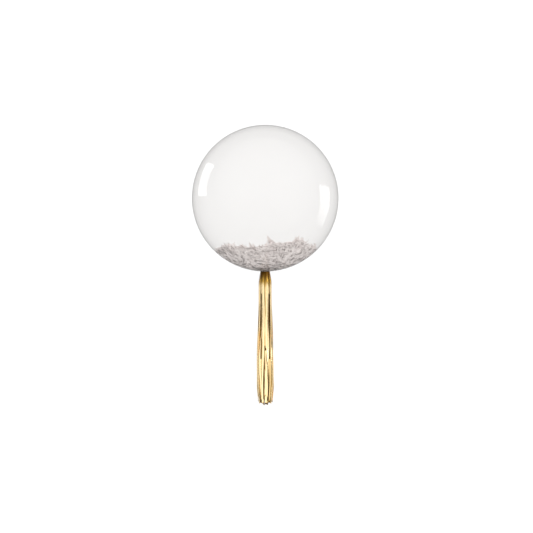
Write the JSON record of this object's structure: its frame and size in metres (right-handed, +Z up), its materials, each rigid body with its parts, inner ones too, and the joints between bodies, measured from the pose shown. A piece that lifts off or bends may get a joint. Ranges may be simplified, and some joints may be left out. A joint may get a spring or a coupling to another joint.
{
  "type": "clear bubble balloon",
  "caption": "Inflated clear film bubble balloon with white feathers sealed inside and a long gold foil tassel tied to its neck, lying down.",
  "frame": {"origin": "centre of the small flat spot under the bubble, on the floor", "axes": "+Z up; -Y from the bubble's centre over its neck and along the lying tassel; +X to the right as seen from the tassel's end"},
  "size_m": [0.4998, 0.9068, 0.498],
  "materials": {
    "clear_film": "gloss",
    "gold_foil": "gloss",
    "white_feather": "matte"
  },
  "bodies": {
    "root": {"clear_bubble": "clear_film", "foil_tassel": "gold_foil"}
  },
  "joints": []
}
